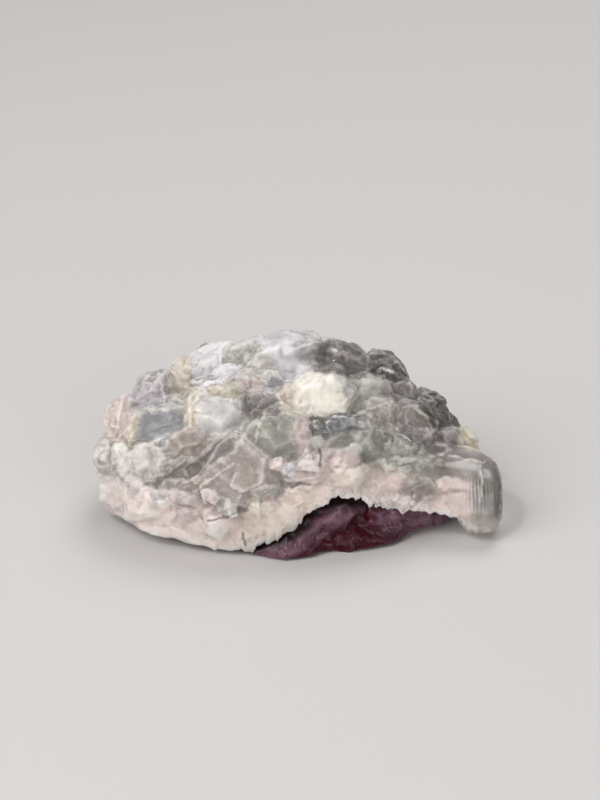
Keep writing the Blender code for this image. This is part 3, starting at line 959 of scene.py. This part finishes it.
def build_crust():
    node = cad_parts["pale_crystal_crust"]
    crust = merged_copy(node, "pale_crystal_crust_surface")
    crystals = display_crystals(node) + fill_crystals(node)
    chips = sugar_chips(node)
    apply_modifier(crust, "even_out", "REMESH", mode="VOXEL", voxel_size=BASE_VOXEL)
    relax(crust.data, 6)
    points = read_points(crust.data)
    sunk = (1 - calm_share(points)) * smoothstep(*SUNK_ABOVE, points[:, 2] / MM) * SUNK
    write_points(crust.data, points - read_normals(crust.data) * sunk[:, None])
    crust = fuse(crust, crystals + chips, "pale_crystal_crust_surface", random.Random(23), CRUST_VOXEL, 1)
    mesh = crust.data
    for cell, tilt, salt, calm in (
        ((4.6, 2.6, 3.2), 0.09, 5, unbroken_share),
        ((2.0, 1.2, 1.5), 0.09, 6, unbroken_share),
        ((1.6, 1.2, 1.6), 0.25, 7, away_from_rim),
    ):
        flake_relief(mesh, crystals, cell, tilt, salt, calm)
    points = read_points(mesh)
    write_points(mesh, points + np.array(VIEW_UP) * (jag(points) * MM)[:, None])
    normals = read_normals(mesh)
    points = flatten_top(read_points(mesh), max(vertex.co.z for vertex in node.data.vertices))
    x, y = frame_pixels(points)
    relief = GLEAM_RISE * line_share(x, y, GLEAMS, 2.0) - CRACK_DEPTH * line_share(x, y, CRACKS, CRACK_WIDTH)
    _, _, inside, height = display_tones(points, broad_normals(mesh))
    broken = inside * (1 - np.maximum(lobe_share(points), band_share(points)))
    relief += neighbour_mean(mesh, SHINGLE * height * broken)
    write_points(mesh, points + normals * (relief * seen_share(points, normals) * MM)[:, None])
    thin_out(crust, MOST_TRIANGLES)
    return crust, crystals


def display_tones(points, normals):
    """For each point: the shares of the places it takes its tones from, the nearness of a border, whether it
    is in one of them at all, and how high it lies in its place, from -1 to 1."""
    x, y = frame_pixels(points)
    swing_x = 1.4 * np.sin(0.2 * y + 0.11 * x) + 0.7 * np.sin(0.5 * y - 0.3 * x + 1)
    swing_y = 1.6 * np.sin(0.18 * x - 0.13 * y + 2) + 0.7 * np.sin(0.5 * x + 0.3 * y)
    x, y = (
        x + swing_x + 0.3 * np.sin(1.2 * y + 0.5 * x),
        y + swing_y + 0.3 * np.sin(1.1 * x - 0.6 * y),
    )
    away = []
    for cx, cy, half_width, half_height, turn, *_ in TONE_PLACES:
        angle = math.radians(turn)
        along = (x - cx) * math.cos(angle) - (y - cy) * math.sin(angle)
        beside = (x - cx) * math.sin(angle) + (y - cy) * math.cos(angle)
        away.append(np.hypot(along / half_width, beside / half_height))
    away = np.array(away)
    owner = np.argmin(away, axis=0)
    first, second = np.partition(away, 1, axis=0)[:2]
    crisp = TONE_CRISPNESS - 5 * lobe_share(points)
    share = np.exp(-crisp * (away - first))
    share /= share.sum(axis=0)
    inside = (first < TONE_REACH) & (seen_share(points, normals) > 0.5)
    middle = np.array([row[:4] for row in TONE_PLACES], float)[owner]
    height = 0.4 * (middle[:, 0] - x) / middle[:, 2] + 0.9 * (middle[:, 1] - y) / middle[:, 3]
    return share.T, 1 - 1.8 * (second - first), inside, np.clip(height, -1, 1)


def paint_crust(crust, crystals):
    """Attributes of the crust: each crystal's tones, its growth layers, its edges and where it is clear, and
    the masks of its painted highlights and painted shade.
    """
    mesh = crust.data
    points = read_points(mesh)
    nearest, local, lead = owners(points, crystals)
    sizes = np.array([tuple(c.radii) for c in crystals])[nearest]
    heart = np.array([TONES[c.heart] for c in crystals])[nearest]
    edge = np.array([TONES[c.edge] for c in crystals])[nearest]
    clear = np.array([c.clear for c in crystals])[nearest]
    share, out, inside, _ = display_tones(points, broad_normals(mesh))
    chip = (sizes[:, 2] < CHIP_RADIUS) & (np.linalg.norm(local, axis=1) < 1.05)
    inside &= ~chip
    heart[inside] = share[inside] @ np.array([TONES[tone] for *_, tone, _, _ in TONE_PLACES])
    edge[inside] = share[inside] @ np.array([TONES[tone] for *_, tone, _ in TONE_PLACES])
    clear[inside] = share[inside] @ np.array([place[-1] for place in TONE_PLACES])
    set_colour(mesh, "heart", heart)
    set_colour(mesh, "edge", edge)
    spin = np.random.default_rng(5).uniform(0, math.pi, len(crystals))[nearest]
    grown = local * sizes / MM
    grown[:, 0], grown[:, 1] = (
        grown[:, 0] * np.cos(spin) - grown[:, 1] * np.sin(spin),
        grown[:, 0] * np.sin(spin) + grown[:, 1] * np.cos(spin),
    )
    set_vector(mesh, "grown", grown)
    reach = np.maximum(np.hypot(local[:, 0], local[:, 1]), 1 - lead * 3)
    standing = ridges(mesh, FINE_ROUNDS)
    hollow = ridges(mesh, BROAD_ROUNDS)
    lobe = lobe_share(points)
    x, y = frame_pixels(points)
    seen = seen_share(points, read_normals(mesh))
    set_floats(
        mesh,
        reach=np.where(inside, out, reach),
        # Masks of painted light: a painted highlight on standing edges and broad bulges, painted shade in
        # creases and broad hollows.
        ridge=np.clip(standing / CRUST_RIDGE, 0, 1),
        crevice=np.clip(-standing / CRUST_RIDGE, 0, 1),
        swell=np.clip(hollow / SWELL_HEIGHT, 0, 1),
        cavity=np.clip(-hollow / CAVITY_DEPTH, 0, 1),
        clear=np.maximum(0.2 + 0.7 * clear, 0.8 * lobe * (1 - inside)),
        lobe=lobe,
        striate=spot_share(x, y, STRIATED_SPOT) * lobe,
        band=band_share(points) * (1 - lobe) * (1 - 0.9 * spot_share(x, y, GREY_SPOT)),
        # Masks of a painted highlight along the bright edges and of a painted glow along the arch's edge.
        gleam=line_share(x, y, GLEAMS, 1.8) * seen,
        rim=line_share(x, y, RIM, 5.0) * seen,
        frost=line_share(x, y, FROST, 7.0) * seen,
        smooth=smooth_share(points) * seen,
        # Mask of painted shade along the cracks.
        crack=line_share(x, y, CRACKS, CRACK_WIDTH) * seen,
    )


# The lumps of the purple base's front: x, y, half-width and half-height in pixels of the frame, turn in
# degrees, how far it stands proud as a share of its depth, habit.
PURPLE_CRYSTALS = (
    (300, 541, 12, 6, 20, 0.2, "dome"),
    (318, 532, 14, 8, 30, 0.2, "slab"),
    (339, 519, 14, 10, 20, 0.35, "pyramid"),
    (352, 533, 16, 12, 10, 0.15, "dome"),
    (362, 514, 8, 7, 0, 0.2, "slab"),
    (379, 517, 9, 8, 10, 0.35, "dome"),
    (386, 532, 12, 9, 0, 0.2, "dome"),
    (393, 517, 8, 8, -15, 0.35, "dome"),
    (408, 520, 11, 7, -10, 0.35, "slab"),
    (424, 519, 8, 6, -10, 0.3, "dome"),
    (436, 518, 6, 5, 0, 0.4, "dome"),
    (446, 517, 5, 4, 0, 0.4, "dome"),
    (453, 519, 4, 4, 0, 0.4, "dome"),
    (330, 546, 14, 6, 5, 0.15, "dome"),
)


def purple_crystals(node, body, rng):
    """The lumps of the base: the front's, as the table gives them, and random ones on the other sides."""
    pixel = MM_PER_PIXEL * MM
    planned = []
    for x, y, half_width, half_height, turn, proud, habit in PURPLE_CRYSTALS:
        point, normal = display_hit(node, x, y)
        if point is None:
            continue
        facing = lean(normal - 0.5 * LOOK, 0.15, rng)
        depth = 0.5 * (half_width + half_height) * pixel
        radii = (half_width * pixel * WIDEN, half_height * pixel * WIDEN, depth)
        turn = stance(facing, VIEW_RIGHT, math.radians(turn))
        planned.append(Crystal(habit, point - facing * depth * (1 - proud), radii, turn))

    def steep(triangle):
        return abs(triangle.normal.z) < 0.9

    for point, normal in random_points(body, PURPLE_FILL, rng, steep):
        facing = lean(normal, 0.3, rng)
        if facing.dot(LOOK) < -0.2:
            continue
        size = rng.uniform(*PURPLE_RADIUS) * MM
        turn = stance(facing, VIEW_RIGHT, rng.uniform(0, math.tau))
        planned.append(Crystal("dome", point - facing * size * 0.85, (size, size, size), turn))
    return planned


def build_purple():
    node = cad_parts["purple_base"]
    purple = merged_copy(node, "purple_base_surface")
    rng = random.Random(41)
    crystals = purple_crystals(node, purple, rng)
    apply_modifier(purple, "even_out", "REMESH", mode="VOXEL", voxel_size=PURPLE_VOXEL)
    apply_modifier(purple, "calm", "SMOOTH", factor=0.5, iterations=6)
    purple = fuse(purple, crystals, "purple_base_surface", rng, PURPLE_VOXEL, 3)
    flake_relief(purple.data, crystals, (3.6, 2.2, 2.2), 0.09, 15, lambda points: 0.0)
    thin_out(purple, MOST_TRIANGLES // 2)
    points = read_points(purple.data)
    points[:, 2] = np.maximum(points[:, 2], 0)
    write_points(purple.data, points)
    return purple


def paint_purple(purple, crust):
    """Attributes of the base: its edges, which carry painted highlights and painted shade, the painted shadow
    in the dark recess under the arch, the pale tip and paler sides.
    """
    mesh = purple.data
    points = read_points(mesh)
    standing = ridges(mesh, FINE_ROUNDS)
    cover = BVHTree.FromObject(crust, bpy.context.evaluated_depsgraph_get())
    gap = np.array([cover.find_nearest(point, WIDEST_GAP)[3] or WIDEST_GAP for point in points.tolist()]) / MM
    x, y = frame_pixels(points)
    under_rim = line_share(x, y, RIM[:1], 13.0 + 9.0 * smoothstep(*RECESS_WIDENS_X, x))
    left = 1 - smoothstep(-1, 7, 0.55 * (x - SIDE_CORNER[0]) + 0.83 * (y - SIDE_CORNER[1]))
    right = smoothstep(*RIGHT_SIDE_X, x) * (1 - smoothstep(*RIGHT_SIDE_Y, y))
    set_floats(
        mesh,
        # Masks of a painted highlight on standing edges, painted shade in creases, and the painted shadow in
        # the recess under the overhanging arch.
        ridge=np.clip(standing / PURPLE_RIDGE, 0, 1),
        crevice=np.clip(-standing / PURPLE_RIDGE, 0, 1),
        recess=(1 - smoothstep(1.4, 3.6, gap)) * under_rim * (1 - smoothstep(*RECESS_ENDS_X, x)),
        tip=smoothstep(*TIP_X, points[:, 0] / MM),
        side=np.maximum(left, right),
    )


class Socket:
    """A node's output, on which Python's operators add Math nodes."""

    def __init__(self, graph, socket):
        self.graph = graph
        self.socket = socket

    def maths(self, operation, *values):
        return self.graph.node("ShaderNodeMath", {"operation": operation}, *values)

    def __add__(self, other):
        return self.maths("ADD", self, other)

    def __radd__(self, other):
        return self.maths("ADD", other, self)

    def __sub__(self, other):
        return self.maths("SUBTRACT", self, other)

    def __rsub__(self, other):
        return self.maths("SUBTRACT", other, self)

    def __mul__(self, other):
        return self.maths("MULTIPLY", self, other)

    def __rmul__(self, other):
        return self.maths("MULTIPLY", other, self)


class Graph:
    """A material's nodes."""

    def __init__(self, name):
        self.material = bpy.data.materials.new(name)
        self.material.use_nodes = True
        self.tree = self.material.node_tree
        self.tree.nodes.clear()

    def node(self, kind, settings, *values, output=0, **named):
        """A node with its settings, its sockets in order or by name, and the output asked for."""
        made = self.tree.nodes.new(kind)
        for key, value in settings.items():
            setattr(made, key, value)
        for key, value in [*enumerate(values), *named.items()]:
            target = made.inputs[key.replace("_", " ") if isinstance(key, str) else key]
            if isinstance(value, Socket):
                self.tree.links.new(value.socket, target)
            else:
                target.default_value = value
        return Socket(self, made.outputs[output])

    def coordinates(self):
        return self.node("ShaderNodeTexCoord", {}, output="Object")

    def attribute(self, name, output="Fac"):
        return self.node("ShaderNodeAttribute", {"attribute_name": name}, output=output)

    def noise(self, place, scale, detail, roughness=0.6, distortion=0.0):
        return self.node(
            "ShaderNodeTexNoise", {}, Vector=place, Scale=scale, Detail=detail, Roughness=roughness,
            Distortion=distortion,
        )

    def sine(self, value):
        return self.node("ShaderNodeMath", {"operation": "SINE"}, value)

    def absolute(self, value):
        return self.node("ShaderNodeMath", {"operation": "ABSOLUTE"}, value)

    def separate(self, vector, axis):
        return self.node("ShaderNodeSeparateXYZ", {}, vector, output=axis)

    def flakes(self, place, scale):
        """The height of small flat flakes, each tilted its own way."""
        settings = {"feature": "F1"}
        made = self.node("ShaderNodeTexVoronoi", settings, Vector=place, Scale=scale, output="Position")
        tilt = self.node("ShaderNodeTexVoronoi", settings, Vector=place, Scale=scale, output="Color")
        offset = self.vector("SUBTRACT", place, made)
        lean_of = self.vector("SUBTRACT", tilt, (0.5, 0.5, 0.5))
        return self.vector("DOT_PRODUCT", offset, lean_of, output="Value") * (scale * 2.0)

    def vector(self, operation, *values, output="Vector"):
        return self.node("ShaderNodeVectorMath", {"operation": operation}, *values, output=output)

    def ramp(self, value, low, high, to_low=0.0, to_high=1.0):
        return self.node(
            "ShaderNodeMapRange", {"interpolation_type": "SMOOTHSTEP"}, Value=value, From_Min=low,
            From_Max=high, To_Min=to_low, To_Max=to_high,
        )

    def blend(self, share, first, second):
        """A colour between two."""
        made = self.tree.nodes.new("ShaderNodeMix")
        made.data_type = "RGBA"
        for index, value in ((0, share), (6, first), (7, second)):
            if isinstance(value, Socket):
                self.tree.links.new(value.socket, made.inputs[index])
            else:
                made.inputs[index].default_value = (*value, 1)
        return Socket(self, made.outputs[2])

    def layers(self, colour, *layers):
        """A colour with others laid over it, each with the share that it covers."""
        for share, over in layers:
            colour = self.blend(share, colour, over)
        return colour

    def bump(self, height, strength):
        return self.node("ShaderNodeBump", {}, Height=height, Distance=BUMP_HEIGHT, Strength=strength)

    def finish(self, surface, volume=None):
        out = self.tree.nodes.new("ShaderNodeOutputMaterial")
        self.tree.links.new(surface.socket, out.inputs["Surface"])
        if volume is not None:
            self.tree.links.new(volume.socket, out.inputs["Volume"])
        return self.material


def pale_fluorite():
    """Milky and clear fluorite, mixed as each crystal asks, with fibres, growth steps, bright edges and the
    arch's edge given painted highlights, and painted shade in creases, hollows and cracks.
    """
    g = Graph("pale_fluorite")
    place = g.coordinates()
    heart = g.attribute("heart", "Color")
    edge = g.attribute("edge", "Color")
    grown = g.attribute("grown", "Vector")
    reach, ridge, crevice, band, lobe, striate, clear, gleam, crack, rim, cavity, swell, frost, smooth = (
        g.attribute(name) for name in (
            "reach", "ridge", "crevice", "band", "lobe", "striate", "clear", "gleam", "crack", "rim",
            "cavity", "swell", "frost", "smooth",
        )
    )
    grain = g.noise(g.vector("MULTIPLY", place, (1.0, 1.0, 0.3)), 620.0, 4.0, distortion=0.6)
    grains = g.noise(place, 3200.0, 2.0)
    cloud = g.noise(place, 230.0, 4.0)
    wisps = g.noise(place, 480.0, 5.0, 0.62, 1.2)

    # Fibres, threads and veins follow each crystal's own axes.
    fibre = g.noise(g.vector("MULTIPLY", grown, (2.6, 0.7, 1.4)), 1.0, 4.0, 0.65, 0.3)
    thread = g.noise(g.vector("MULTIPLY", grown, (0.8, 3.4, 2.4)), 1.0, 3.0, distortion=0.3)
    vein = g.noise(g.vector("MULTIPLY", grown, (1.8, 0.45, 1.1)), 1.0, 3.0, 0.55, 0.5)
    thin = 1.0 - g.ramp(g.absolute(vein - 0.5), 0.0, 0.011)
    dark = 1.0 - g.ramp(g.absolute(vein - 0.485), 0.0, 0.012)

    # Growth steps run across a crystal, hems and a bright line run round it near its border.
    phase = g.vector("DOT_PRODUCT", grown, (7.0, 3.0, 6.0), output="Value") + cloud * 3.0 + wisps * 1.5
    step = g.ramp(g.sine(phase), 0.7, 0.97)
    under = g.ramp(g.sine(phase + 1.2), 0.7, 0.97)
    hem = g.ramp(g.sine(reach * 34.0 + cloud * 10.0), 0.3, 1.0) * g.ramp(reach, 0.35, 0.8)
    line = g.ramp(reach, 0.55, 0.7) * g.ramp(reach, 0.88, 0.78) * (1.0 - lobe)

    # Detail lies mostly near the borders and on the lighter crystals.
    light = g.ramp(g.separate(heart, "Y"), 0.0, 0.5, 0.35, 1.0)
    detail = g.ramp(reach + (cloud - 0.5) * 1.4, 0.3, 0.95, 0.35, 1.0) * light
    detail = detail * (1.0 - band * 0.7) * (1.0 - lobe * 0.9) * (1.0 - smooth * 0.75)
    patch = g.ramp(wisps, 0.42, 0.58) * detail
    striae = g.sine(g.separate(place, "X") * 8000.0 + cloud * 4.0)
    band_tone = g.layers(
        MARKS["band rose"],
        (g.ramp(cloud, 0.4, 0.65), MARKS["band peach"]),
        (g.ramp(grain, 0.45, 0.65) * 0.15, MARKS["band grey"]),
    )
    colour = g.layers(
        heart,
        (g.ramp(reach + (wisps - 0.5) * 0.6, 0.75, 1.05), edge),
        (g.ramp(cloud, 0.42, 0.68) * 0.15, MARKS["cloud"]),
        (g.ramp(fibre, 0.56, 0.63) * 0.15 * detail, MARKS["fibre"]),
        (g.ramp(fibre, 0.43, 0.37) * 0.12 * detail, MARKS["fibre shade"]),
        (g.ramp(thread, 0.58, 0.65) * 0.15 * detail, MARKS["thread"]),
        (step * patch * 0.6, MARKS["step"]),
        (under * patch * 0.4, MARKS["step shade"]),
        (hem * patch * 0.22, MARKS["hem"]),
        (line * patch * 0.4, MARKS["border line"]),
        (dark * 0.3 * detail, MARKS["vein shade"]),
        (thin * 0.6 * detail, MARKS["vein"]),
        (g.ramp(grains, 0.60, 0.72) * 0.5 * detail, MARKS["grain"]),
        (band * 0.6, band_tone),
        # A painted glow along the arch's edge.
        (rim * g.ramp(wisps, 0.3, 0.55) * 0.9, MARKS["rim"]),
        (frost * g.ramp(grains, 0.52, 0.40) * 0.5, MARKS["frost shade"]),
        (frost * g.ramp(grains, 0.50, 0.62) * 0.9, MARKS["frost"]),
        # Painted shade in hollows and creases, painted highlights on bulges and standing edges.
        (cavity * 0.15, MARKS["cavity"]),
        (swell * light * 0.2, MARKS["swell"]),
        (ridge * light * 0.42, MARKS["ridge"]),
        (crevice * 0.18, MARKS["crevice"]),
        # Painted highlights along the bright edges, painted shade along the cracks.
        (gleam * g.ramp(grain, 0.35, 0.55) * 0.8, MARKS["gleam"]),
        (crack * 0.55, MARKS["crack"]),
        (striate * g.ramp(striae, 0.3, 1.0) * 0.7, MARKS["stria"]),
        (striate * g.ramp(striae, -0.3, -1.0) * 0.5, MARKS["stria shade"]),
    )

    facets = g.flakes(place, 420.0)
    small_facets = g.flakes(place, 1100.0) * (1.0 - band * 0.6) * (1.0 - smooth * 0.6)
    height = fibre * 0.06 + thread * 0.04 + (step + hem) * 0.22
    height = height + wisps * 0.1 + grain * band * 0.2 + thin * 0.1
    height = height * detail + facets * (0.4 - smooth * 0.3) + small_facets * 0.1
    height = height * (1.0 - lobe * 0.8) * (1.0 - band * 0.6)
    height = height + grains * (0.03 + frost * 0.2) + striae * striate * 0.2
    normal = g.bump(height, 0.7)
    inner = g.bump(height + facets * (0.4 - lobe * 0.4), 0.9)
    milky = g.node(
        "ShaderNodeBsdfPrincipled", {}, Base_Color=colour, Roughness=0.07 + cloud * 0.16 + lobe * 0.12,
        Normal=normal, IOR=FLUORITE_IOR, Transmission_Weight=0.1, Subsurface_Weight=1.0,
        Subsurface_Radius=(1.0, 1.0, 1.0), Subsurface_Scale=2.5 * MM,
    )
    pale = g.blend((0.15 + g.separate(colour, "Y") * 0.5) * (1.0 - lobe * 0.8), colour, MARKS["glass"])
    glassy = g.node(
        "ShaderNodeBsdfPrincipled", {}, Base_Color=pale, Roughness=0.02 + cloud * 0.1, Normal=inner,
        IOR=FLUORITE_IOR, Transmission_Weight=1.0,
    )
    share = clear + g.ramp(cloud, 0.38, 0.64) * 0.22 * (1.0 - lobe * 0.8) * (1.0 - band * 0.4)
    surface = g.node("ShaderNodeMixShader", {}, share, milky, glassy)
    volume = g.node("ShaderNodeVolumeAbsorption", {}, Color=(*VOLUME_TONE, 1), Density=VOLUME_DENSITY)
    return g.finish(surface, volume)


def purple_fluorite():
    """Dark purple fluorite, paler on its sides and its tip, with painted highlights on its ridges and specks,
    painted shade in its crevices, and a nearly black painted shadow in the recess under the arch.
    """
    g = Graph("purple_fluorite")
    place = g.coordinates()
    ridge, crevice, recess, tip, side = (
        g.attribute(name) for name in ("ridge", "crevice", "recess", "tip", "side")
    )
    cloud = g.noise(place, 150.0, 4.0)
    fine = g.noise(place, 1000.0, 4.0)
    wisps = g.noise(place, 500.0, 4.0, distortion=1.0)
    colour = g.layers(
        PURPLES["wine"],
        (g.ramp(cloud, 0.38, 0.66), PURPLES["plum"]),
        (side * 0.85, PURPLES["side"]),
        (g.ramp(wisps, 0.55, 0.75) * (0.08 + side * 0.2), PURPLES["wisp"]),
        (tip * 0.38, PURPLES["tip"]),
        # Painted highlights on ridges and specks, painted shade in crevices, and a nearly black painted
        # shadow in the recess under the arch.
        (ridge * (0.2 + side * 0.25), PURPLES["ridge"]),
        (g.ramp(fine, 0.58, 0.68) * side * 0.5, PURPLES["speck"]),
        (crevice * 0.5, PURPLES["crevice"]),
        (recess * 0.97, PURPLES["recess"]),
    )
    surface = g.node(
        "ShaderNodeBsdfPrincipled", {}, Base_Color=colour, Roughness=0.08 + cloud * 0.2,
        Normal=g.bump(g.flakes(place, 420.0) * 0.5 + wisps * 0.25 + fine * 0.05, 0.5), IOR=FLUORITE_IOR,
        Specular_IOR_Level=0.1, Transmission_Weight=0.2, Subsurface_Weight=0.4,
        Subsurface_Radius=(1.0, 0.4, 0.6), Subsurface_Scale=1.5 * MM,
    )
    return g.finish(surface)


def pale_floor():
    g = Graph("pale_floor")
    surface = g.node("ShaderNodeBsdfPrincipled", {}, Base_Color=(*FLOOR_TONE, 1), Roughness=FLOOR_ROUGHNESS)
    return g.finish(surface)


def dress(obj, material):
    obj.data.materials.clear()
    obj.data.materials.append(material)
    choose(obj)
    bpy.ops.object.shade_smooth()


def build_stage():
    deselect_all()
    bpy.ops.mesh.primitive_plane_add(size=FLOOR_SIZE, location=(0, 0, -FLOOR_DROP))
    floor = bpy.context.object
    floor.name = "floor"
    floor.data.materials.append(pale_floor())


def build_lights():
    for name, place, size, power, colour in LIGHTS:
        deselect_all()
        bpy.ops.object.light_add(type="AREA", location=place)
        light = bpy.context.object
        light.name = name
        light.data.shape = "DISK"
        light.data.size = size
        light.data.energy = power
        light.data.color = colour
        light.rotation_euler = (LIGHTS_AIM - Vector(place)).to_track_quat("-Z", "Y").to_euler()
    world = bpy.data.worlds.new("studio")
    bpy.context.scene.world = world
    world.use_nodes = True
    background = world.node_tree.nodes["Background"]
    background.inputs["Color"].default_value = (*WORLD_TONE, 1)
    background.inputs["Strength"].default_value = WORLD_STRENGTH
    bpy.context.scene.view_settings.view_transform = "Standard"


def build_camera():
    data = bpy.data.cameras.new("camera")
    data.sensor_width = SENSOR
    data.lens = SENSOR * CAMERA_DISTANCE / (MM_PER_PIXEL * MM * FRAME_HEIGHT)
    data.clip_start = 0.01
    camera = bpy.data.objects.new("camera", data)
    bpy.context.scene.collection.objects.link(camera)
    camera.location = CAMERA_PLACE
    camera.rotation_euler = LOOK.to_track_quat("-Z", "Y").to_euler()
    bpy.context.scene.camera = camera


build_camera()
build_lights()
build_stage()

crust, crystals = build_crust()
paint_crust(crust, crystals)
dress(crust, pale_fluorite())
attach(crust, "root")
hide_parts("pale_crystal_crust")

purple = build_purple()
paint_purple(purple, crust)
dress(purple, purple_fluorite())
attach(purple, "root")
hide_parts("purple_base")
